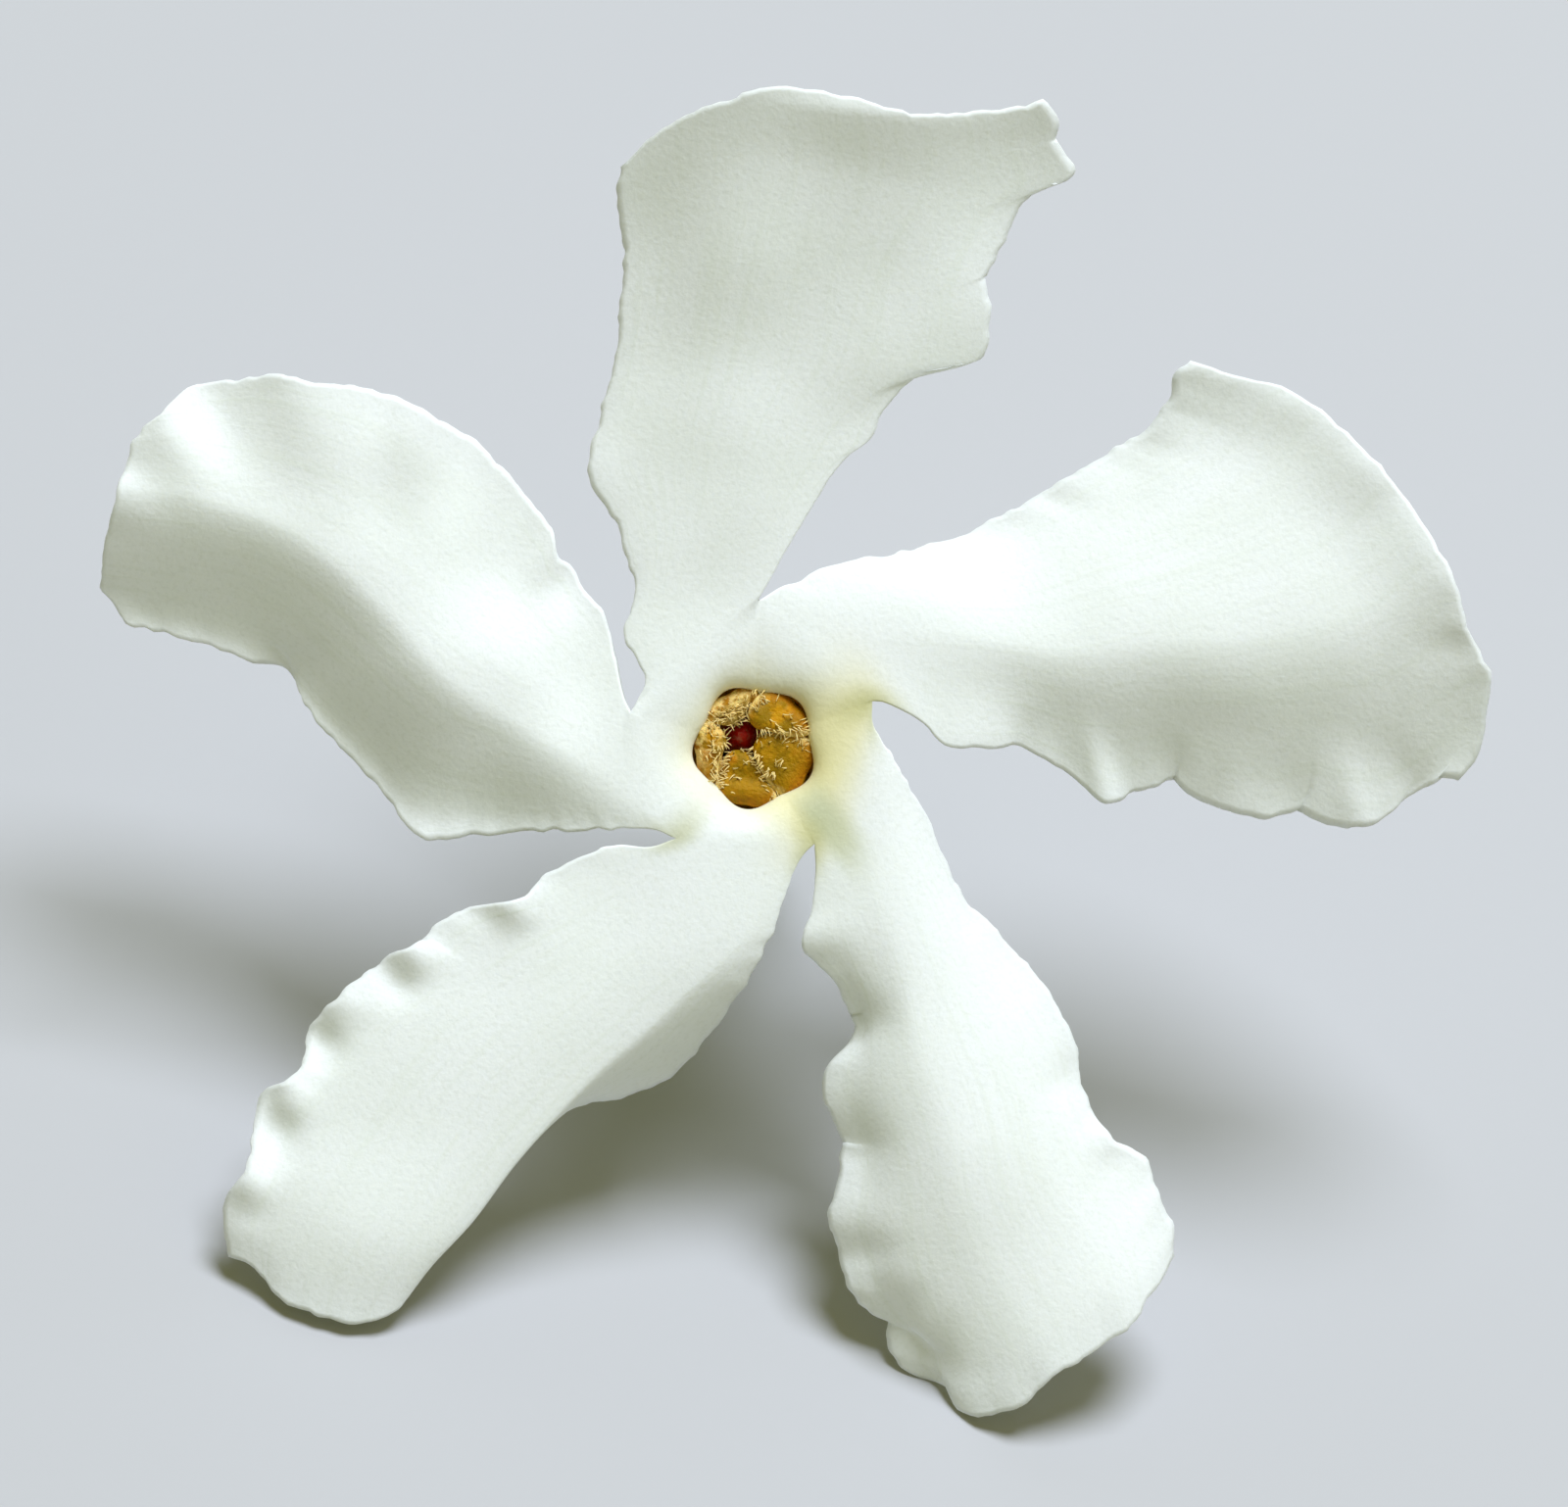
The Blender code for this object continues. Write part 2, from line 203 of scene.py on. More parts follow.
class Finish:
    # one material being built, with patterns to paint it by
    def __init__(self, name, settings):
        self.material = bpy.data.materials.new(name)
        self.material.use_nodes = True
        self.tree = self.material.node_tree
        self.shader = self.tree.nodes["Principled BSDF"]
        for socket, value in settings.items():
            plug(self.tree, self.shader.inputs[socket], value)
        self.place = self.add("ShaderNodeTexCoord", {}, {}, "Object")

    def add(self, kind, settings, inputs, output=0):
        return addNode(self.tree, kind, settings, inputs, output)

    def uv(self):
        # how far a point lies across and along its sheet, or round and along its stem
        uv = self.add("ShaderNodeUVMap", {"uv_map": "sheet"}, {})
        across = self.add("ShaderNodeSeparateXYZ", {}, {0: uv}, "X")
        along = self.add("ShaderNodeSeparateXYZ", {}, {0: uv}, "Y")
        return across, along

    def noise(self, grain, detail=3.0):
        # grain is the size of a patch, in mm
        inputs = {"Vector": self.place, "Scale": 1 / (grain * mm), "Detail": detail}
        return self.add("ShaderNodeTexNoise", {}, inputs, "Fac")

    def fromMouth(self, direction):
        # how far a point lies from the mouth along a direction in the flower's own frame, in mm
        axis = (toRow.to_3x3() @ Vector(direction)).normalized()
        fromOrigin = {0: self.place, 1: tuple(toRow.translation)}
        offset = self.add("ShaderNodeVectorMath", {"operation": "SUBTRACT"}, fromOrigin, "Vector")
        onAxis = {0: offset, 1: tuple(axis)}
        return self.add("ShaderNodeVectorMath", {"operation": "DOT_PRODUCT"}, onAxis, "Value") / mm

    def streaks(self, across, along, count, stretch):
        # an uneven pattern of lines that run along a sheet
        flat = self.add("ShaderNodeCombineXYZ", {}, {"X": across * count, "Y": along * stretch})
        return self.add("ShaderNodeTexNoise", {}, {"Vector": flat, "Scale": 1.0, "Detail": 3.0}, "Fac")

    def mix(self, amount, first, second):
        # the Mix node's colour sockets are its inputs 6 and 7 and its output 2
        return self.add("ShaderNodeMix", {"data_type": "RGBA"}, {0: amount, 6: first, 7: second}, 2)

    def paint(self, colour):
        plug(self.tree, self.shader.inputs["Base Color"], colour)

    def rough(self, value):
        plug(self.tree, self.shader.inputs["Roughness"], value)

    def bump(self, height, depth):
        # depth is how far the bump stands for a height of 1, in mm
        inputs = {"Strength": 1.0, "Distance": depth * mm, "Height": height}
        normal = self.add("ShaderNodeBump", {}, inputs, "Normal")
        plug(self.tree, self.shader.inputs["Normal"], normal)


petalLook = {
    "white": (0.86, 0.89, 0.86),
    "shade": (0.8, 0.84, 0.77),
    "grain": (0.72, 0.75, 0.69),
    "cream": (0.76, 0.7, 0.37),
    "olive": (0.42, 0.42, 0.16),
    # painted shade for the fold at the root of the lower right lobe
    "fold": (0.56, 0.58, 0.39),
    # painted shade for the inside of the tube below the mouth
    "paintedDeepShade": (0.8, 0.48, 0.1),
    "tube": (0.74, 0.76, 0.52),
    "tubeFoot": (0.5, 0.6, 0.26),
    "cellHeight": 0.9,  # as shares of the relief
    "veinHeight": 0.15,
    "relief": 0.01,  # mm
    "roughness": 0.52,
}


def petalFinish(name, look, back):
    finish = Finish(name, {
        "Subsurface Weight": 0.35,
        "Subsurface Radius": (1.0, 0.95, 0.8),
        "Subsurface Scale": 0.0004,
        "IOR": 1.38,
        "Sheen Weight": 0.08,
        "Sheen Roughness": 0.6,
    })
    across, along = finish.uv()
    patches = finish.noise(2.2)
    speckle = finish.noise(0.09, 2.0)
    veins = finish.streaks(across, along, 34, 2.2).ramp(0.45, 0.75) * along.ramp(0.02, 0.3)
    # the seam between neighbouring lobes, darkest in their cleft
    seam = (across - 0.5).size() * 2
    nearCleft = seam.ramp(0.55, 1.0) * (1 - along.size().ramp(0.0, 0.09))
    nearCleft = nearCleft * finish.fromMouth((0.7, -0.7, 0)).ramp(-1.2, 0.4)
    lobe = finish.mix(patches.ramp(0.35, 0.7) * 0.5, look["white"], look["shade"])
    lobe = finish.mix(veins * 0.7, lobe, look["shade"])
    lobe = finish.mix(speckle.ramp(0.5, 0.7) * 0.3, lobe, look["grain"])
    if back:
        tube = finish.mix(along.ramp(-1.0, -0.5), look["tubeFoot"], look["tube"])
        tubeVeins = finish.streaks(across, along, 14, 0.9).ramp(0.45, 0.7)
        tube = finish.mix(tubeVeins * 0.3, tube, look["tubeFoot"])
        colour = finish.mix(along.ramp(-0.4, 0.1), tube, lobe)
    else:
        # the ring round the mouth is cream, and creamier on its right: that extra cream is partly the
        # ring's own tint and partly painted shade
        right = finish.fromMouth((0.95, -0.3, 0))
        ring = 1 - along.ramp(-0.03, 0.1)
        creamAndShade = (1 - along.ramp(-0.12, 0.01)) * 0.6 + right.ramp(0.0, 1.8) * ring * 0.85
        colour = finish.mix(creamAndShade.ramp(0.0, 1.2), lobe, look["cream"])
        # deeper in the tube the wall is painted orange: painted shade, warm in tone, for the shaded
        # gaps between the anthers
        colour = finish.mix(along.ramp(-0.32, -0.16), look["paintedDeepShade"], colour)
        # painted shade: an olive-grey strip down the fold between the bottom of the mouth's ring and
        # the root of the lower right lobe
        below = finish.fromMouth((0.62, -0.78, 0)).ramp(0.7, 1.7)
        aside = finish.fromMouth((0.78, 0.62, 0))
        fold = below * aside.ramp(-0.3, 0.1) * (1 - aside.ramp(0.25, 0.8)) * (1 - along.ramp(0.0, 0.17))
        colour = finish.mix(fold, colour, look["fold"])
    finish.paint(finish.mix(nearCleft * 0.6, colour, look["olive"]))
    finish.rough(look["roughness"] + patches * 0.12)
    cells = finish.noise(0.1, 2.0)
    finish.bump(cells * look["cellHeight"] + veins * look["veinHeight"], look["relief"])
    return finish.material


antherLook = {
    "amber": (0.29, 0.16, 0.001),
    "orange": (0.5, 0.16, 0.004),
    "gold": (0.56, 0.27, 0.002),
    "edge": (0.9, 0.68, 0.24),
    "roughness": 0.5,
}


def antherFinish(look):
    finish = Finish("anther", {
        "Subsurface Weight": 0.25,
        "Subsurface Radius": (1.0, 0.6, 0.2),
        "Subsurface Scale": 0.0002,
        "Specular IOR Level": 0.12,
    })
    body = finish.mix(finish.noise(0.3).ramp(0.4, 0.62), look["amber"], look["gold"])
    body = finish.mix(finish.noise(0.6, 2.0).ramp(0.58, 0.75) * 0.7, body, look["orange"])
    # the sacs are darker on the lower right and woolly on the upper left
    body = finish.mix(finish.fromMouth((0.5, -0.87, 0)).ramp(-0.5, 0.7) * 0.7, body, look["amber"])
    # their outer ends turn orange next to the tube's wall
    aside, upward = finish.fromMouth((1, 0, 0)), finish.fromMouth((0, 1, 0))
    outer = (aside * aside + upward * upward).ramp(0.45, 1.3) * finish.noise(0.35).ramp(0.3, 0.55)
    body = finish.mix(outer * 0.75, body, look["orange"])
    woolly = finish.fromMouth((-0.8, 0.6, 0)).ramp(0.25, 0.9) * finish.noise(0.15).ramp(0.35, 0.6)
    body = finish.mix(woolly * 0.8, body, look["edge"])
    # a pale border runs up both sides, where the two halves of the section meet
    around, _ = finish.uv()
    toSide = ((around * 2 + 0.5) * math.pi).sine().size()
    border = (toSide + finish.noise(0.12) * 0.3).ramp(0.9, 1.15)
    finish.paint(finish.mix(border, body, look["edge"]))
    finish.rough(look["roughness"] + finish.noise(0.1) * 0.2)
    finish.bump(finish.noise(0.07, 2.0), 0.035)
    return finish.material


hairLook = {
    "straw": (0.88, 0.6, 0.15),
    "cream": (0.95, 0.76, 0.32),
}


def hairFinish(look):
    finish = Finish("pale hair", {
        "Subsurface Weight": 0.3,
        "Subsurface Radius": (1.0, 0.8, 0.5),
        "Subsurface Scale": 0.0002,
        "Specular IOR Level": 0.2,
    })
    finish.paint(finish.mix(finish.noise(0.4), look["straw"], look["cream"]))
    finish.rough(0.5 + finish.noise(0.2) * 0.1)
    finish.bump(finish.noise(0.05), 0.004)
    return finish.material


stigmaLook = {
    "crimson": (1.0, 0.02, 0.015),
    "paintedHighlight": (1.0, 0.22, 0.2),
    "style": (0.66, 0.66, 0.4),
}


def pistilFinish(look):
    finish = Finish("pistil", {
        "Subsurface Weight": 0.2,
        "Subsurface Radius": (1.0, 0.3, 0.2),
        "Subsurface Scale": 0.0002,
    })
    up = finish.fromMouth((0, 0, 1))
    # pink patches scattered over the crimson head are painted highlights
    head = finish.mix(finish.noise(0.12).ramp(0.45, 0.7), look["crimson"], look["paintedHighlight"])
    finish.paint(finish.mix(up.ramp(-2.5, -2.1), look["style"], head))
    finish.rough(0.35 + finish.noise(0.15) * 0.25)
    finish.bump(finish.noise(0.06), 0.015)
    return finish.material


greenLook = {
    "leaf": (0.16, 0.3, 0.05),
    "pale": (0.36, 0.47, 0.14),
    "blush": (0.3, 0.16, 0.08),
}


def greenFinish(name, look, stripes):
    finish = Finish(name, {
        "Subsurface Weight": 0.15,
        "Subsurface Radius": (0.5, 1.0, 0.2),
        "Subsurface Scale": 0.0003,
    })
    across, along = finish.uv()
    stripe = (across * stripes + finish.noise(1.0) * 1.5).sine() * 0.5 + 0.5
    body = finish.mix(finish.noise(0.7).ramp(0.3, 0.7), look["leaf"], look["pale"])
    body = finish.mix(stripe * 0.35, body, look["pale"])
    blushed = along.ramp(0.8, 1.0) * finish.noise(0.5).ramp(0.4, 0.6)
    body = finish.mix(blushed * 0.7, body, look["blush"])
    finish.paint(body)
    finish.rough(0.45 + finish.noise(0.3) * 0.2)
    finish.bump(finish.noise(0.08, 2.0) * 0.6 + stripe * 0.8, 0.015)
    return finish.material


nectaryLook = {
    "green": (0.4, 0.5, 0.12),
    "yellow": (0.62, 0.64, 0.3),
}


def nectaryFinish(look):
    finish = Finish("nectary", {
        "Subsurface Weight": 0.2,
        "Subsurface Radius": (0.8, 1.0, 0.3),
        "Subsurface Scale": 0.0002,
    })
    finish.paint(finish.mix(finish.noise(0.3), look["green"], look["yellow"]))
    finish.rough(0.22 + finish.noise(0.2) * 0.2)
    finish.bump(finish.noise(0.08), 0.01)
    return finish.material


petalFront = petalFinish("petal front", petalLook, back=False)
petalBack = petalFinish("petal back", petalLook, back=True)
anther = antherFinish(antherLook)
paleHair = hairFinish(hairLook)
pistilSkin = pistilFinish(stigmaLook)
sepalSkin = greenFinish("sepal", greenLook, 50)
stalkSkin = greenFinish("stalk", greenLook, 75)
print("materials made")

stigmaSpot = Vector((-0.22, 0.2, 0))  # where the anthers' tips lean together
# bearing, how far the tip stays off the stigma, the tip's height and the share of hairs on its face
stamens = [
    (45, 0.33, -0.22, 0.2),
    (117, 0.32, -0.36, 0.95),
    (189, 0.37, -0.3, 0.5),
    (261, 0.33, -0.42, 0.3),
    (333, 0.32, -0.32, 0.25),
]

corolla = {
    "wall": 0.14,  # at the middle of a lobe; the margins are thinner
    "marginWall": 0.35,  # share of the wall left at the margin
    "mouthRadius": 1.08,
    # radius and height of its inside, from the foot up
    "tubeProfile": [(0.74, -7.0), (0.66, -5.88), (0.62, -4.9), (1.02, -3.29), (1.27, -1.89),
                    (1.18, -0.91), (1.06, -0.3)],
    "mouthWaver": 0.07,  # the mouth swells over each anther by this share
    "limbHeight": 0.12,
    "columns": 50,
    "tubeRows": 16,
    "collarRows": 8,  # from the tube's top to the roots of the lobes
    "lobeRows": 130,
    "collarShare": 0.15,  # of the pattern's length below the lobes
    "rootSwell": 6.0,  # how strongly a lobe first grows straight away from the mouth
    "notchReach": 0.22,  # how far in from a margin its notches show, as a share of the width
    "thinSides": 0.22,  # how far in the wall is thinner, as shares of the width and the length
    "thinTip": 0.1,
    # heights in mm, each with how many of its patches lie in a mm
    "serration": 0.06,
    "coarseTeeth": 2.0,
    "fineTeeth": 4.5,
    "wrinkles": 0.05,
    "wrinkleCount": 1.9,
    "unevenness": 0.1,
    "unevenCount": 0.45,
    "ripple": 0.55,  # scales every wave of the lobes
}

# clefts between the lobes, clockwise from the one left of the top lobe
clefts = [(-2.24, 0.62), (0.05, 2.62), (2.12, 0.82), (1.08, -1.75), (-1.42, -1.65)]

# a lobe's rails run from its root outwards: (place across, points). Its waves are ripples that
# grow from an inner point to an outer one: (inner, outer, width, height)
lobes = [
    {
        "name": "top",
        "root": (-1.1, 1.6),
        "rails": [
            (0.0, [(-2.08, 0.9), (-1.98, 1.2), (-2.2, 1.65), (-2.38, 2.05), (-2.2, 2.5), (-2.2, 3.0),
                   (-2.45, 3.9), (-2.9, 4.65), (-3.0, 5.1), (-2.8, 5.85), (-2.55, 6.8), (-2.45, 7.6),
                   (-2.37, 9.1), (-2.48, 9.8), (-2.38, 10.4)]),
            (1.0, [(0.3, 3.05), (0.95, 4.2), (1.6, 5.15), (2.1, 5.55), (2.4, 6.15), (3.0, 6.7),
                   (3.9, 6.9), (4.2, 7.15), (4.25, 7.9), (4.1, 8.42), (4.1, 8.42), (4.4, 8.9),
                   (4.6, 9.3), (4.85, 9.8), (5.25, 10.02), (5.66, 10.2), (5.7, 10.45), (5.38, 10.9),
                   (5.38, 10.9), (5.45, 11.3), (5.2, 11.6)]),
        ],
        "tip": [(-2.38, 10.4), (-2.0, 10.8), (-1.1, 11.38), (-0.4, 11.55), (-0.2, 11.72), (0.6, 11.8),
                (1.6, 11.68), (2.8, 11.33), (3.9, 11.35), (4.85, 11.48), (5.2, 11.6)],
        "lean": 2.5,
        "drops": (0.25, 0.25),
        "crest": (0.5, 0.45),
        "round": 2.0,
        "flare": 0.0,
        "curl": 0.0,
        "wrinkled": 0.1,
        "waves": [
            ((1.5, 8.0), (5.5, 10.5), 2.2, -1.2),
            ((1.8, 10.2), (2.0, 11.3), 1.6, 0.15),
            ((2.0, 11.3), (2.05, 11.75), 1.6, -0.25),
            ((-2.2, 5.0), (-3.0, 5.0), 0.6, 0.1),
            ((-0.6, 2.4), (-0.6, 4.6), 1.6, 0.3),
            ((-1.8, 5.4), (-1.8, 9.0), 1.3, -0.35),
        ],
    },
    {
        "name": "right",
        "root": (1.2, 1.8),
        "rails": [
            (0.0, [(0.5, 2.88), (1.5, 3.3), (2.5, 3.5), (3.5, 3.73), (4.5, 4.2), (5.5, 4.78),
                   (6.5, 5.38), (7.1, 5.8), (7.45, 6.25), (7.55, 6.7), (7.85, 6.98)]),
            (1.0, [(2.4, 0.78), (3.05, 0.43), (3.42, 0.02), (3.9, -0.03), (4.42, 0.0), (4.88, -0.04),
                   (5.7, -0.52), (6.3, -1.0), (6.98, -0.77), (7.57, -0.6), (7.57, -0.6), (8.03, -0.98),
                   (9.07, -1.3), (9.8, -1.16), (9.8, -1.16), (10.4, -1.42), (11.2, -1.4), (11.8, -0.89),
                   (12.31, -0.54), (12.31, -0.54), (12.7, -0.63)]),
        ],
        "tip": [(7.85, 6.98), (8.7, 6.72), (9.6, 6.4), (10.6, 5.7), (11.5, 4.75), (12.2, 3.7),
                (12.65, 2.7), (12.78, 2.1), (12.78, 2.1), (13.15, 1.45), (13.2, 0.9), (13.12, 0.2),
                (12.95, -0.3), (12.7, -0.63)],
        "lean": 1.1,
        "drops": (0.9, 1.6),
        "crest": (0.5, 0.6),
        "round": 1.6,
        "flare": 0.6,
        "curl": -0.3,
        "wrinkled": 1.0,
        "waves": [
            ((4.0, 1.2), (4.1, 0.0), 0.45, 0.12),
            ((4.9, 0.9), (4.9, 0.0), 0.3, -0.1),
            ((5.9, 0.8), (6.35, -0.9), 0.28, 0.28),
            ((7.2, 0.6), (7.6, -0.6), 0.35, -0.1),
            ((8.3, 0.5), (8.8, -1.2), 0.5, 0.14),
            ((9.5, 0.2), (9.8, -1.1), 0.35, -0.1),
            ((10.4, 0.4), (10.9, -1.3), 0.35, 0.24),
            ((11.0, 0.6), (11.9, -0.8), 0.35, -0.14),
            ((11.4, 1.6), (12.9, 1.9), 0.3, -0.12),
            ((10.6, 3.6), (11.7, 4.4), 0.4, -0.1),
            ((9.4, 4.9), (10.2, 6.0), 0.4, -0.1),
            ((6.9, 4.3), (7.6, 6.8), 0.5, 0.25),
        ],
    },
    {
        "name": "lowerRight",
        "root": (1.7, -0.5),
        "rails": [
            (0.0, [(2.15, 0.35), (2.5, -0.2), (3.2, -1.5), (3.8, -2.7), (4.5, -3.5), (5.2, -4.25),
                   (5.75, -5.2), (5.87, -5.9), (6.1, -6.6), (6.5, -7.05), (7.05, -7.45), (7.25, -8.0),
                   (7.5, -8.5), (7.6, -9.2)]),
            (1.0, [(1.1, -2.2), (1.05, -2.9), (0.88, -3.35), (0.9, -3.72), (1.4, -4.25), (1.75, -4.85),
                   (1.75, -4.85), (1.72, -5.3), (1.3, -5.8), (1.25, -6.4), (1.6, -7.15), (1.6, -7.15),
                   (1.5, -7.8), (1.33, -8.5), (1.45, -9.05), (1.65, -9.7), (2.0, -10.2), (2.43, -10.4),
                   (2.43, -10.4), (2.37, -10.8), (2.65, -11.25)]),
        ],
        "tip": [(7.6, -9.2), (7.2, -9.8), (6.7, -10.5), (5.9, -11.05), (5.3, -11.42), (4.7, -11.95),
                (4.1, -12.1), (3.65, -11.98), (3.52, -11.6), (3.52, -11.6), (3.1, -11.48),
                (2.65, -11.25)],
        "lean": 0.12,
        "drops": (0.8, 1.3),
        "crest": (0.55, 0.5),
        "round": 1.7,
        "flare": 0.3,
        "curl": 0.0,
        "wrinkled": 1.0,
        "waves": [
            ((2.2, -3.2), (0.9, -3.5), 0.45, 0.22),
            ((2.8, -4.9), (1.8, -5.0), 0.4, -0.3),
            ((2.6, -6.2), (1.2, -6.1), 0.5, 0.13),
            ((2.8, -7.2), (1.6, -7.2), 0.35, -0.22),
            ((2.8, -8.3), (1.3, -8.4), 0.5, 0.22),
            ((3.0, -9.0), (1.6, -9.2), 0.3, -0.2),
            ((3.3, -9.6), (2.3, -10.5), 0.35, -0.25),
            ((3.5, -10.0), (3.2, -11.5), 0.35, -0.3),
            ((3.6, -7.0), (3.4, -12.3), 2.2, -1.0),
            ((4.8, -6.0), (6.0, -6.1), 0.4, -0.15),
            ((5.5, -7.2), (6.7, -7.0), 0.35, 0.15),
        ],
    },
    {
        "name": "lowerLeft",
        "root": (-0.1, -1.75),
        "rails": [
            (0.0, [(0.85, -1.98), (0.62, -2.45), (0.4, -3.1), (0.01, -4.0), (-0.72, -5.1),
                   (-1.57, -6.0), (-2.45, -6.38), (-3.4, -6.6), (-4.6, -7.5), (-5.6, -8.9),
                   (-6.3, -10.0)]),
            (0.25, [(0.05, -2.9), (-0.55, -3.65), (-1.3, -4.4), (-1.93, -5.06), (-2.81, -5.87),
                    (-3.55, -6.67), (-4.28, -7.52), (-5.01, -8.51), (-5.75, -9.3), (-6.3, -10.0)]),
            (1.0, [(-1.9, -1.81), (-2.5, -1.78), (-3.1, -1.95), (-3.77, -2.31), (-4.15, -2.68),
                   (-4.61, -2.8), (-5.45, -3.01), (-6.0, -3.48), (-6.0, -3.48), (-6.7, -3.81),
                   (-7.4, -4.4), (-8.02, -5.02), (-8.17, -5.72), (-8.17, -5.72), (-8.4, -6.0),
                   (-8.9, -6.25), (-9.07, -6.82), (-9.16, -7.6), (-9.55, -8.1), (-9.6, -8.6),
                   (-9.45, -9.2)]),
        ],
        "tip": [(-6.3, -10.0), (-6.5, -10.22), (-7.1, -10.4), (-7.87, -10.3), (-8.5, -10.0),
                (-9.0, -9.42), (-9.45, -9.2)],
        "lean": -0.1,
        "drops": (0.5, 0.5),
        "crest": (0.5, 0.5),
        "round": 1.8,
        "flare": 0.2,
        "curl": 0.1,
        "fold": 1.15,
        "wrinkled": 0.8,
        "waves": [
            ((-4.05, -3.5), (-4.4, -2.75), 0.45, 0.45),
            ((-5.85, -4.35), (-6.25, -3.7), 0.45, 0.4),
            ((-6.1, -4.8), (-6.45, -4.25), 0.35, -0.25),
            ((-7.1, -5.2), (-7.55, -4.6), 0.5, 0.35),
            ((-7.4, -5.9), (-7.85, -5.3), 0.35, -0.35),
            ((-8.3, -7.0), (-8.5, -6.3), 0.4, 0.45),
            ((-8.4, -7.8), (-8.6, -7.0), 0.35, -0.25),
            ((-9.0, -8.55), (-9.2, -7.9), 0.4, 0.4),
        ],
    },
    {
        "name": "left",
        "root": (-2.5, -0.5),
        "rails": [
            (0.0, [(-1.95, -1.48), (-3.28, -1.5), (-5.0, -1.58), (-5.9, -1.7), (-6.34, -1.4),
                   (-6.65, -0.93), (-7.44, -0.07), (-8.1, 0.7), (-8.45, 1.36), (-9.1, 1.53),
                   (-10.5, 2.01), (-11.4, 2.22)]),
            (1.0, [(-2.4, 1.03), (-2.6, 2.0), (-2.75, 2.5), (-3.08, 2.84), (-3.25, 3.2), (-3.55, 3.5),
                   (-3.66, 3.95), (-4.2, 4.6), (-5.0, 5.51), (-6.02, 6.1), (-7.0, 6.47), (-7.6, 6.51),
                   (-8.73, 6.7), (-9.71, 6.59), (-10.22, 6.49)]),
        ],
        "tip": [(-11.4, 2.22), (-11.6, 2.6), (-11.83, 2.96), (-11.7, 3.7), (-11.4, 4.8), (-11.28, 5.35),
                (-10.9, 5.8), (-10.22, 6.49)],
        "lean": 0.4,
        "drops": (2.4, 0.25),
        "crest": (0.38, 0.54),
        "round": 1.5,
        "flare": 0.8,
        "curl": 0.0,
        "wrinkled": 0.8,
        "waves": [
            ((-3.6, 2.2), (-3.2, 3.1), 0.35, -0.15),
            ((-4.2, 2.6), (-3.6, 3.5), 0.3, 0.15),
            ((-5.6, 3.4), (-5.1, 5.2), 0.5, -0.2),
            ((-6.4, 3.8), (-6.1, 5.9), 0.5, 0.3),
            ((-8.3, 4.3), (-8.3, 6.4), 0.7, 0.4),
            ((-9.0, 4.5), (-9.8, 6.3), 0.4, -0.15),
            ((-9.6, 4.3), (-10.6, 5.8), 0.4, 0.25),
            ((-10.0, 4.0), (-11.3, 5.0), 0.4, -0.2),
            ((-7.6, 1.9), (-8.45, 1.4), 0.4, -0.25),
            ((-4.9, 1.4), (-4.2, 3.2), 1.3, -0.4),
            ((-3.5, -0.4), (-3.0, 1.4), 0.8, -0.3),
            ((-5.2, 0.4), (-5.8, -1.6), 1.0, 0.35),
            ((-6.8, 1.6), (-7.2, 3.6), 1.0, 0.35),
            ((-6.9, 4.0), (-7.0, 5.6), 1.2, 0.15),
        ],
    },
]


def lobePaths(lobe, startCleft, endCleft):
    start, pull, end = Vector(startCleft), Vector(lobe["root"]), Vector(endCleft)

    @functools.cache
    def root(across):
        return start.lerp(pull, across).lerp(pull.lerp(end, across), across)

    sharp = [(place, smoothPath([root(place), *points])) for place, points in lobe["rails"]]
    soft = [(place, softened(rail) if place in (0, 1) else rail) for place, rail in sharp]
    tipLine = smoothPath(lobe["tip"])
    folded = lobe["rails"][1][0] if "fold" in lobe else 0.0

    def tip(across):
        # the part folded under narrows to nothing at the tip
        return tipLine(max(0.0, (across - folded) / (1 - folded)))

    growth = tip(0.5) - root(0.5)
    return {
        "root": root,
        "sharp": sharp,
        "soft": soft,
        "tip": tip,
        "softTip": softened(tip),
        "growth": growth,
    }


def onRails(rails, across, along):
    for (low, before), (high, after) in zip(rails, rails[1:]):
        if across <= high + 1e-9:
            return before(along).lerp(after(along), (across - low) / (high - low))


def waveHeight(waves, spot):
    total = 0.0
    for inner, outer, width, height in waves:
        way = Vector(outer) - Vector(inner)
        offset = spot - Vector(inner)
        share = offset.dot(way) / way.length_squared
        aside = offset - way * share
        total += height * smoothStep(share) * math.exp(-aside.length_squared / width ** 2)
    return corolla["ripple"] * total


def lobeHeight(lobe, across, along, spot):
    # both margins drop away from a crest, and the tip curls back
    crestAtRoot, crestAtTip = lobe["crest"]
    crest = crestAtRoot + (crestAtTip - crestAtRoot) * along
    offCrest = 1 - across / crest if across < crest else (across - crest) / (1 - crest)
    drop = lobe["drops"][0 if across < crest else 1]
    drop *= offCrest ** lobe["round"] - lobe["flare"] * offCrest ** 4 / 2
    if "fold" in lobe:
        turnedUnder = smoothStep((along - 0.12) / 0.3) * (1 - smoothStep((along - 0.78) / 0.22))
        drop += lobe["fold"] * turnedUnder * max(0.0, 1 - across / lobe["rails"][1][0]) ** 1.3
    height = corolla["limbHeight"] - drop * smoothStep(along / 0.5)
    height -= lobe["curl"] * smoothStep((along - 0.8) / 0.2) ** 2
    height += waveHeight(lobe["waves"], spot)
    uneven = noise.noise(Vector((spot.x, spot.y, 3.0)) * corolla["unevenCount"])
    return height + corolla["unevenness"] * uneven * smoothStep(along / 0.3)


def frill(point):
    # how far a margin strays from its own line, at a point on it
    coarse = noise.noise(Vector((point.x, point.y, 1.0)) * corolla["coarseTeeth"])
    fine = noise.noise(Vector((point.x, point.y, 5.0)) * corolla["fineTeeth"])
    return corolla["serration"] * (0.8 * coarse + fine)


def wrinkle(point):
    place = Vector((point.x, point.y, 8.0)) * corolla["wrinkleCount"]
    return corolla["wrinkles"] * noise.noise(place)


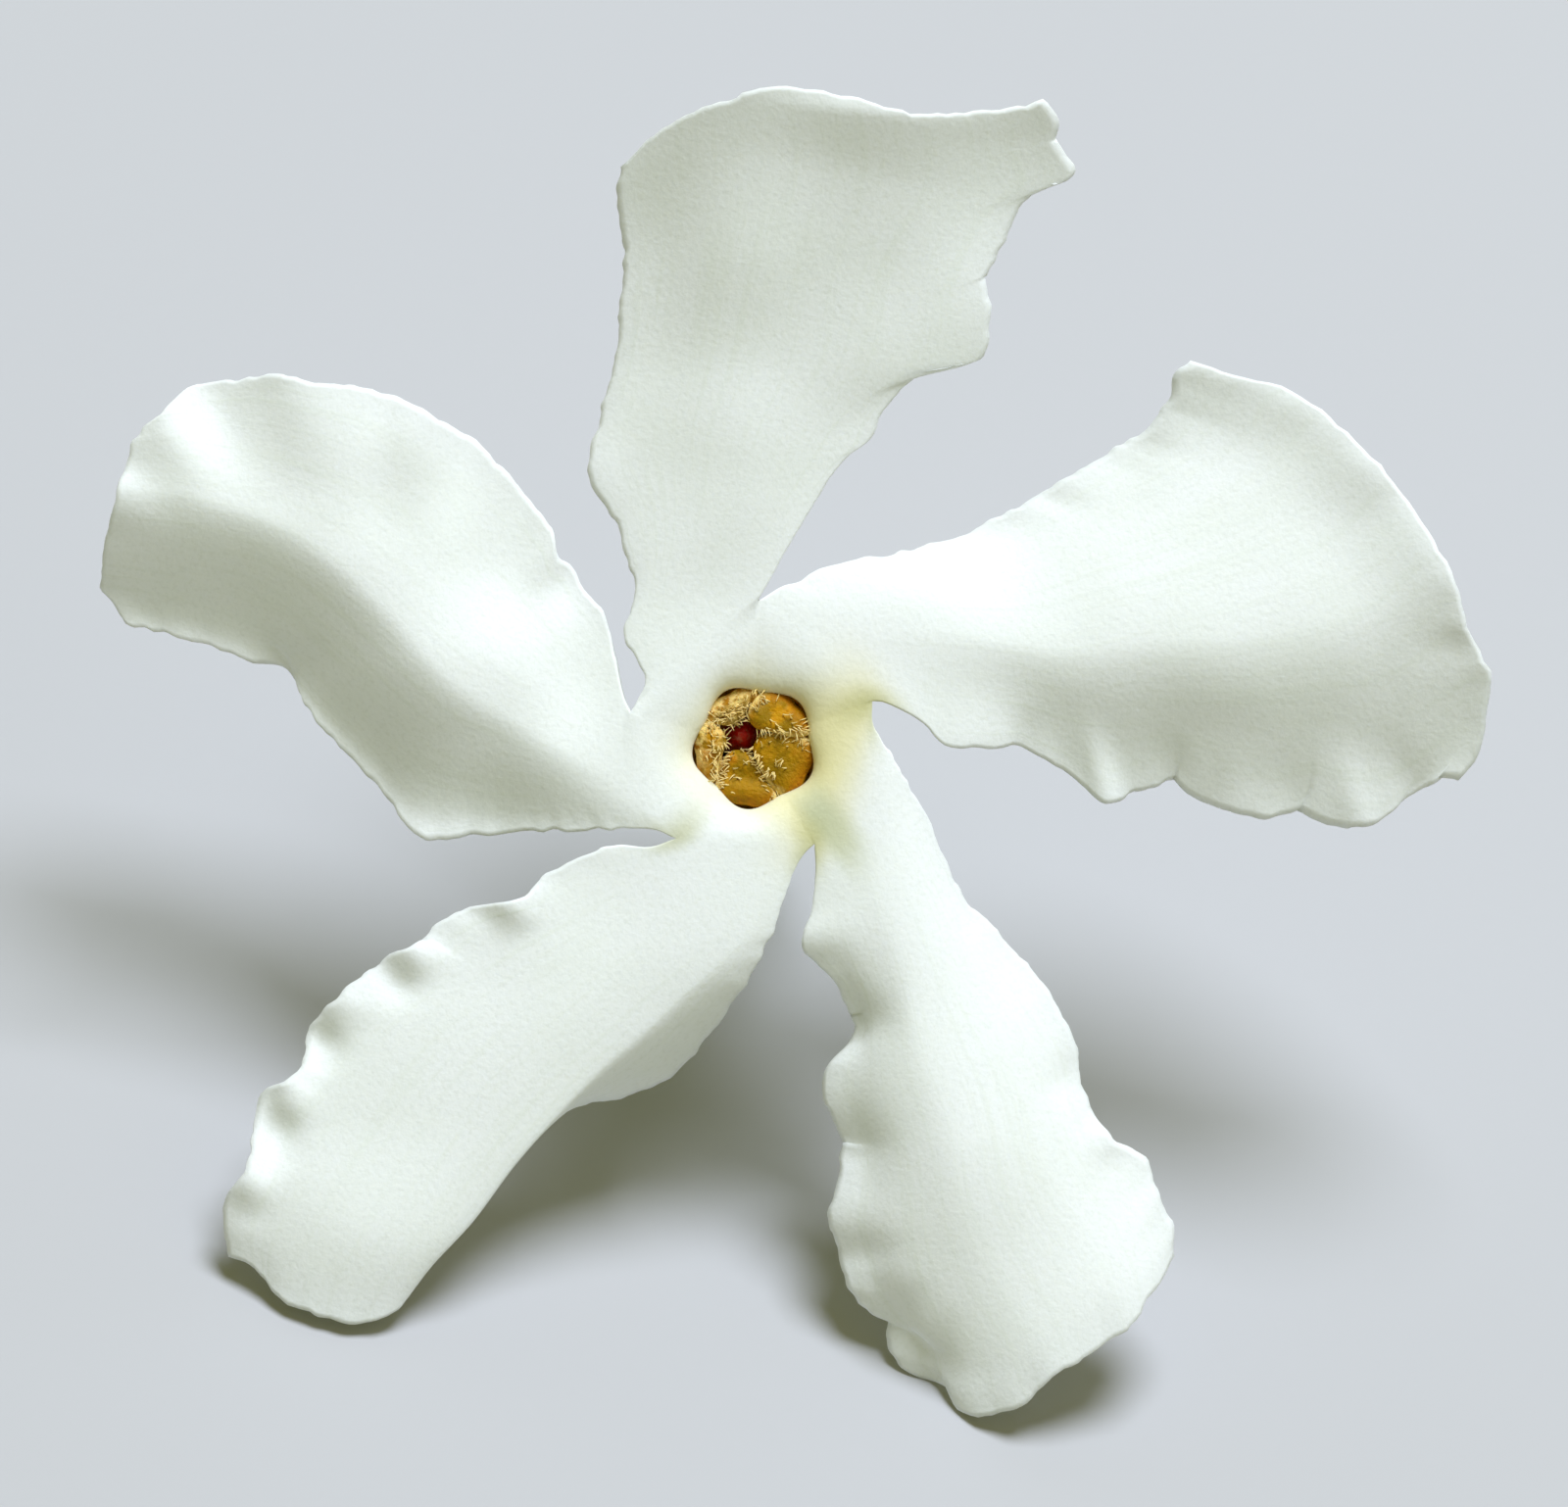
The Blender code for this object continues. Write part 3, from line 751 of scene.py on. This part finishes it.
def lobePoint(lobe, paths, across, along):
    # a smooth sheet between softened edges, then the edges' own notches, which fade inwards
    spot = onRails(paths["soft"], across, along)
    root = paths["root"](across)
    spot += (1 - along) ** 4 * (root - onRails(paths["soft"], across, 0.0))
    swell = 4 * across * (1 - across) * corolla["rootSwell"] * along * (1 - along) ** 8
    spot += swell * root.normalized()
    spot += along * (paths["softTip"](across) - onRails(paths["soft"], across, 1.0))
    left, right, tip = paths["sharp"][0][1](along), paths["sharp"][-1][1](along), paths["tip"](across)
    width = right - left
    outwards = width.normalized() * smoothStep(along / 0.1)
    nearLeft = 1 - smoothStep(across / corolla["notchReach"])
    nearRight = 1 - smoothStep((1 - across) / corolla["notchReach"])
    nearTip = 1 - smoothStep((1 - along) / corolla["notchReach"] * 2)
    shift = nearLeft * (left - paths["soft"][0][1](along) - outwards * frill(left))
    shift += nearRight * (right - paths["soft"][-1][1](along) + outwards * frill(right))
    shift += nearTip * (tip - paths["softTip"](across) + tip.normalized() * frill(tip))
    spot = spot + shift
    # the height belongs to the place the point has moved to, so that a notch leaves no crease
    movedAcross = across + shift.dot(width) / width.length_squared
    growth = paths["growth"]
    movedAlong = along + shift.dot(growth) / growth.length_squared
    outFrom = (spot - paths["root"](0.5)).dot(growth) / growth.length_squared
    height = lobe["lean"] * outFrom * abs(outFrom) + lobeHeight(lobe, movedAcross, movedAlong, spot)
    wrinkles = nearLeft ** 2 * wrinkle(left)
    wrinkles += nearRight ** 2 * wrinkle(right)
    wrinkles += nearTip ** 2 * wrinkle(tip)
    height += lobe["wrinkled"] * wrinkles * smoothStep(along / 0.3)
    return Vector((spot.x, spot.y, height))


def addGore(bm, lobe, startCleft, endCleft):
    # one lobe and the fifth of the collar and tube below it
    paths = lobePaths(lobe, startCleft, endCleft)
    profile = smoothPath(corolla["tubeProfile"])
    tubeRows, collarRows, lobeRows = corolla["tubeRows"], corolla["collarRows"], corolla["lobeRows"]
    rows = tubeRows + collarRows + lobeRows
    thickness = bm.verts.layers.deform.verify()
    sheet = bm.loops.layers.uv.get("sheet") or bm.loops.layers.uv.new("sheet")
    grid = bmesh.ops.create_grid(bm, x_segments=corolla["columns"], y_segments=rows, size=0.5)
    # along is -1 at the tube's foot, 0 at the lobe's root and 1 at its tip
    collarShare = corolla["collarShare"]
    flat = {}
    for vert in grid["verts"]:
        across, row = vert.co.x + 0.5, round((vert.co.y + 0.5) * rows)
        rimDistance = 1.0
        if row > tubeRows + collarRows:
            along = (row - tubeRows - collarRows) / lobeRows
            vert.co = lobePoint(lobe, paths, across, along)
            # near its root a lobe has no free sides
            toSide = min(across, 1 - across) * 2 + 1 - smoothStep(along / 0.15)
            rimDistance = min(1.0, toSide / corolla["thinSides"], (1 - along) / corolla["thinTip"])
        else:
            root = paths["root"](across)
            radius, height = profile(min(1.0, row / tubeRows))
            along = -1 + (1 - collarShare) * row / tubeRows
            waver = smoothStep((row / tubeRows - 0.7) / 0.3)
            if row > tubeRows:
                share = (row - tubeRows) / collarRows
                radius += (root.length - radius) * (1 - math.cos(share * math.pi / 2))
                height += (corolla["limbHeight"] - height) * math.sin(share * math.pi / 2)
                along = -collarShare * (1 - share)
                waver = 1 - smoothStep(share)
            # the tube swells over each of its anthers
            angle = math.atan2(root.y, root.x) - math.radians(stamens[0][0])
            radius *= 1 + corolla["mouthWaver"] * math.cos(len(stamens) * angle) * waver
            vert.co = (*(root.normalized() * radius), height)
        flat[vert] = (across, along)
        marginWall = corolla["marginWall"]
        vert[thickness][0] = marginWall + (1 - marginWall) * smoothStep(rimDistance)
    for face in {face for vert in grid["verts"] for face in vert.link_faces}:
        for loop in face.loops:
            loop[sheet].uv = flat[loop.vert]


def makeCorolla():
    bm = bmesh.new()
    for i, lobe in enumerate(lobes):
        addGore(bm, lobe, clefts[i], clefts[(i + 1) % len(clefts)])
        print("lobe made:", lobe["name"])
    bmesh.ops.remove_doubles(bm, verts=bm.verts, dist=0.001)
    piece = addPiece("corolla_sheet", bm, [petalFront, petalBack], ["corolla"])
    piece.vertex_groups.new(name="wall")
    wall = piece.modifiers.new("Wall", "SOLIDIFY")
    wall.thickness = corolla["wall"] * mm
    wall.offset = -1
    wall.material_offset = 1
    wall.vertex_group = "wall"
    wall.thickness_vertex_group = 0.05


makeCorolla()


def addSweep(bm, path, stations, segments, section=None, material=0):
    # a closed solid along path(share) -> (centre, side, front, halfWidth, halfDepth)
    sheet = bm.loops.layers.uv.get("sheet") or bm.loops.layers.uv.new("sheet")
    ring = bmesh.ops.create_circle(bm, cap_ends=True, radius=1, segments=segments)["verts"]
    cap = ring[0].link_faces[0]
    flat = {}
    for i in range(stations + 1):
        share = i / stations
        centre, side, front, halfWidth, halfDepth = path(share)
        if i:
            cap = bmesh.ops.extrude_discrete_faces(bm, faces=[cap])["faces"][0]
        for corner, vert in enumerate(cap.verts):
            angle = 2 * math.pi * corner / segments
            x, y = section(angle, share) if section else (math.cos(angle), math.sin(angle))
            vert.co = centre + side * (halfWidth * x) + front * (halfDepth * y)
            flat[vert] = (corner / segments, share)
    # the extrusion leaves its foot open
    rim = dict.fromkeys(edge for vert in flat for edge in vert.link_edges if edge.is_boundary)
    bmesh.ops.holes_fill(bm, edges=list(rim), sides=segments)
    faces = list(dict.fromkeys(face for vert in flat for face in vert.link_faces))
    bmesh.ops.recalc_face_normals(bm, faces=faces)
    for face in faces:
        face.material_index = material
        for loop in face.loops:
            loop[sheet].uv = flat[loop.vert]


hair = {
    "radius": 0.017,
    "length": 0.15,
    "taper": 0.8,
    "stations": 3,
    "segments": 5,
}


def addHair(bm, foot, way, bend, length, material):
    side = way.orthogonal().normalized()
    front = way.cross(side)

    def path(share):
        radius = hair["radius"] * (1 - hair["taper"] * share)
        return foot + way * (length * share) + bend * (length * share ** 2), side, front, radius, radius

    addSweep(bm, path, hair["stations"], hair["segments"], None, material)


stamen = {
    "stations": 26,
    "segments": 24,
    "groove": 0.25,
    "hairs": 36,
}


def antherSection(angle, share):
    # two sacs side by side, with a groove between them on the face that looks outwards
    x, y = math.cos(angle), math.sin(angle)
    sacs = smoothStep((share - 0.25) / 0.2) * (1 - smoothStep((share - 0.75) / 0.2))
    return x, y * (1 - stamen["groove"] * math.exp(-(x / 0.3) ** 2) * sacs)


def makeStamen(number, bearing, tipGap, tipHeight, shaggy):
    angle = math.radians(bearing)
    outward = Vector((math.cos(angle), math.sin(angle), 0))
    side = Vector((0, 0, 1)).cross(outward)
    # distance from the axis, height, half width, half depth, and how far it leans to the stigma
    shape = smoothPath([
        (1.0, -2.3, 0.12, 0.08, 0.0),
        (1.0, -1.95, 0.14, 0.1, 0.0),
        (0.96, -1.55, 0.36, 0.12, 0.0),
        (0.94, -1.1, 0.54, 0.13, 0.0),
        (0.96, -0.62, 0.61, 0.15, 0.0),
        (0.91, -0.35, 0.59, 0.16, 0.04),
        (0.56 + 0.3 * tipGap, tipHeight - 0.06, 0.52, 0.15, 0.35),
        (0.1 + tipGap, tipHeight, 0.31, 0.12, 0.85),
        (tipGap, tipHeight - 0.04, 0.18, 0.08, 1.0),
        (tipGap - 0.03, tipHeight - 0.1, 0.04, 0.04, 1.0),
    ])

    def centreAt(share):
        radius, height, _, _, lean = shape(share)
        return outward * radius + stigmaSpot * lean + Vector((0, 0, height))

    def path(share):
        _, _, halfWidth, halfDepth, _ = shape(share)
        growth = centreAt(min(1, share + 0.02)) - centreAt(max(0, share - 0.02))
        front = growth.normalized().cross(side).normalized()
        return centreAt(share), side, front, max(0.02, halfWidth), max(0.02, halfDepth)

    bm = bmesh.new()
    addSweep(bm, path, stamen["stations"], stamen["segments"], antherSection)
    chance = random.Random(number)
    # hairs along both sides of the anther's upper half, and some on its face
    for _ in range(round(stamen["hairs"] * (1 + 2 * shaggy))):
        centre, sideways, front, halfWidth, halfDepth = path(0.6 + 0.38 * chance.random())
        onFace = chance.random() < shaggy
        if onFace:
            place = chance.uniform(-0.7, 0.7)
        else:
            place = chance.choice((-1, 1)) * chance.uniform(0.55, 0.8)
        foot = centre + sideways * (halfWidth * place)
        foot -= front * (halfDepth * 0.9 * math.sqrt(1 - place ** 2))
        lean = chance.uniform(-1, 1) if onFace else math.copysign(chance.uniform(0.6, 1.0), place)
        way = sideways * lean - front * chance.uniform(0.3, 0.8) + outward * chance.uniform(-0.4, 0.4)
        length = hair["length"] * chance.uniform(0.6, 1.2)
        end = foot + way.normalized() * length
        # a hair that would reach the tube's wall is left out
        if end.xy.length < corolla["mouthRadius"] * (1 - corolla["mouthWaver"]):
            bend = outward * chance.uniform(-0.4, 0.4) + Vector((0, 0, chance.uniform(-0.2, 0.4)))
            addHair(bm, foot, way.normalized(), bend, length, 1)
    addPiece(f"anther_{number}", bm, [anther, paleHair], [f"stamen_{number}"])


for number, (bearing, tipGap, tipHeight, shaggy) in enumerate(stamens, start=1):
    makeStamen(number, bearing, tipGap, tipHeight, shaggy)
print("stamens made")


mouthDown = {
    "tufts": 5,
    "hairsInTuft": 14,
    "firstTuft": 81,  # degrees, half way between the first two anthers
    "spread": 13,
    "lowest": -0.6,
    "highest": -0.22,
}


def makeMouthDown():
    # tufts of short hairs on the tube's wall, one over each gap between two anthers
    bm = bmesh.new()
    chance = random.Random(11)
    for tuft in range(mouthDown["tufts"]):
        bearing = mouthDown["firstTuft"] + 360 / mouthDown["tufts"] * tuft
        for _ in range(mouthDown["hairsInTuft"]):
            angle = math.radians(bearing + chance.gauss(0, mouthDown["spread"]))
            outward = Vector((math.cos(angle), math.sin(angle), 0))
            height = chance.uniform(mouthDown["lowest"], mouthDown["highest"])
            foot = outward * (corolla["mouthRadius"] - 0.01) + Vector((0, 0, height))
            around = Vector((0, 0, 1)).cross(outward) * chance.uniform(-0.6, 0.6)
            way = (around - outward + Vector((0, 0, chance.uniform(0.0, 0.8)))).normalized()
            addHair(bm, foot, way, Vector((0, 0, 0.3)), hair["length"] * chance.uniform(0.7, 1.5), 0)
    addPiece("mouth_down", bm, [paleHair])


makeMouthDown()


pistil = {
    "ribs": 5,
    "ribHeight": 0.1,
    "headRise": 0.28,  # how far the stigma head stands above the plain solid's
    "stations": 60,
    "segments": 30,
}


def makePistil():
    # ovary, style and ribbed stigma head
    shape = smoothPath([
        (0.26, -6.95),
        (0.38, -6.6),
        (0.38, -6.2),
        (0.26, -5.75),
        (0.13, -5.35),
        (0.11, -2.9),
        (0.13, -2.2),
        (0.3, -2.0),
        (0.36, -1.5),
        (0.3, -0.95),
        (0.08, pistil["headRise"] - stigmaDepth),
    ])

    def section(angle, share):
        rib = pistil["ribHeight"] * math.cos(pistil["ribs"] * angle)
        swell = 1 + rib * smoothStep((share - 0.7) / 0.1)
        return swell * math.cos(angle), swell * math.sin(angle)

    def path(share):
        # the style leans so that the head lies between the anthers' tips
        radius, height = shape(share)
        centre = stigmaSpot * smoothStep((share - 0.35) / 0.5) + Vector((0, 0, height))
        return centre, Vector((1, 0, 0)), Vector((0, 1, 0)), radius, radius

    bm = bmesh.new()
    addSweep(bm, path, pistil["stations"], pistil["segments"], section)
    addPiece("pistil_ribbed", bm, [pistilSkin], ["pistil"])


makePistil()
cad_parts["nectary_ring"].data.materials.clear()
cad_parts["nectary_ring"].data.materials.append(nectaryFinish(nectaryLook))
print("pistil and nectary made")

sepalBearings = [126, 54, -18, -90, -162]
sepal = {
    "foot": -7.2,  # a little way into the receptacle's rim
    "length": 2.8,
    "stations": 28,
    "segments": 24,
    "keel": 0.3,
    "thinned": 0.35,  # share of the depth lost at the sides
}


def makeSepal(number, bearing):
    angle = math.radians(bearing)
    outward = Vector((math.cos(angle), math.sin(angle), 0))
    side = Vector((0, 0, 1)).cross(outward)
    # share of the length, distance from the axis, half width and half depth
    shape = smoothPath([
        (0.0, 1.16, 0.66, 0.1),
        (0.12, 1.24, 0.64, 0.14),
        (0.3, 1.22, 0.55, 0.13),
        (0.55, 1.24, 0.42, 0.11),
        (0.8, 1.44, 0.24, 0.08),
        (1.0, 1.92, 0.05, 0.04),
    ])

    def section(angle, share):
        # thin towards the sides, with a keel down the back, and bent round the tube
        x, y = math.cos(angle), math.sin(angle)
        keel = 1 + sepal["keel"] * math.exp(-(x / 0.2) ** 2) if y > 0 else 1
        _, reach, halfWidth, halfDepth = shape(share)
        hug = halfWidth ** 2 / (2 * reach * halfDepth)
        return x, y * keel * (1 - sepal["thinned"] * x * x) - hug * x * x

    def path(share):
        rise, reach, halfWidth, halfDepth = shape(share)
        centre = outward * reach + Vector((0, 0, sepal["foot"] + sepal["length"] * rise))
        return centre, side, outward, halfWidth, halfDepth

    bm = bmesh.new()
    addSweep(bm, path, sepal["stations"], sepal["segments"], section)
    addPiece(f"sepal_keeled_{number}", bm, [sepalSkin], [f"sepal_{number}"])


for number, bearing in enumerate(sepalBearings, start=1):
    makeSepal(number, bearing)
print("sepals made")

stalk = {
    "top": -7.1,
    "bend": 0.035,
    "cup": 0.6,  # depth of the receptacle, below which the stalk bends
    "ribs": 8,
    "ribHeight": 0.035,
    "stations": 60,
    "segments": 32,
}


def makeStalk():
    # radius and depth below the top
    shape = smoothPath([
        (1.16, -0.04),
        (1.24, 0.06),
        (1.2, 0.26),
        (1.0, 0.52),
        (0.7, 0.8),
        (0.45, 1.2),
        (0.34, 1.8),
        (0.31, 2.8),
        (0.34, 4.0),
        (0.4, 5.2),
    ])

    def section(angle, share):
        rib = stalk["ribHeight"] * math.cos(stalk["ribs"] * angle)
        swell = 1 + rib * smoothStep((share - 0.2) / 0.2)
        return swell * math.cos(angle), swell * math.sin(angle)

    def path(share):
        radius, depth = shape(share)
        below = max(0.0, depth - stalk["cup"])
        lean = math.atan(2 * stalk["bend"] * below)
        centre = Vector((0, stalk["bend"] * below ** 2, stalk["top"] - depth))
        return centre, Vector((1, 0, 0)), Vector((0, math.cos(lean), math.sin(lean))), radius, radius

    bm = bmesh.new()
    addSweep(bm, path, stalk["stations"], stalk["segments"], section)
    addPiece("stalk_ribbed", bm, [stalkSkin], ["stalk"])


makeStalk()
print("stalk made")

studio = {
    "floor": (0.46, 0.46, 0.47),
    "floorPatches": (0.4462, 0.4462, 0.4559),
    "keyPower": 1.45,
    "keyColour": (0.8, 0.855, 1.0),
    "keySize": 0.15,
    "keyFrom": (0.08, 0.24, 0.18),  # in the flower's frame, in metres
    "fillPower": 0.06,
    "fillColour": (1.0, 1.0, 1.0),
    "fillSize": 0.3,
    "fillFrom": (0.2, -0.1, 0.3),
    "skyColour": (0.97, 0.98, 0.38),
    "sky": 0.27,
    "distance": 0.3,
    "viewWidth": 28.27,  # mm across the frame at the mouth
    "aim": (0.53, -0.12, 0.0),  # mm, in the flower's frame
}


def makeFloor():
    bm = bmesh.new()
    bmesh.ops.create_grid(bm, x_segments=2, y_segments=2, size=1.5)
    mesh = bpy.data.meshes.new("floor")
    bm.to_mesh(mesh)
    bm.free()
    finish = Finish("floor", {"Roughness": 0.9})
    finish.paint(finish.mix(finish.noise(40), studio["floor"], studio["floorPatches"]))
    mesh.materials.append(finish.material)
    floor = bpy.data.objects.new("floor", mesh)
    bpy.context.scene.collection.objects.link(floor)


def aimed(place, target, up):
    back = (place - target).normalized()
    right = up.cross(back).normalized()
    return Matrix.Translation(place) @ Matrix((right, back.cross(right), back)).transposed().to_4x4()


def addLight(name, place, target, size, power, colour):
    data = bpy.data.lights.new(name, "AREA")
    data.shape = "DISK"
    data.size = size
    data.energy = power
    data.color = colour
    light = bpy.data.objects.new(name, data)
    light.matrix_world = aimed(place, target, Vector((0, 1, 0)))
    bpy.context.scene.collection.objects.link(light)


def makeStudio():
    mouth = toRow.translation
    turn = toRow.to_3x3() * (1 / mm)
    keyPlace = mouth + turn @ Vector(studio["keyFrom"])
    addLight("key", keyPlace, mouth, studio["keySize"], studio["keyPower"], studio["keyColour"])
    fillPlace = mouth + Vector(studio["fillFrom"])
    addLight("fill", fillPlace, mouth, studio["fillSize"], studio["fillPower"], studio["fillColour"])
    world = bpy.data.worlds.new("studio")
    world.use_nodes = True
    sky = world.node_tree.nodes["Background"]
    sky.inputs["Color"].default_value = (*studio["skyColour"], 1)
    sky.inputs["Strength"].default_value = studio["sky"]
    scene = bpy.context.scene
    scene.world = world
    scene.view_settings.view_transform = "Standard"
    data = bpy.data.cameras.new("camera")
    data.lens = data.sensor_width * studio["distance"] / (studio["viewWidth"] * mm)
    data.clip_start = 0.01
    camera = bpy.data.objects.new("camera", data)
    target = mouth + turn @ (Vector(studio["aim"]) * mm)
    back = turn @ Vector((0, 0, studio["distance"]))
    camera.matrix_world = aimed(target + back, target, turn @ Vector((0, 1, 0)))
    scene.collection.objects.link(camera)
    scene.camera = camera


makeFloor()
makeStudio()
print("studio made")
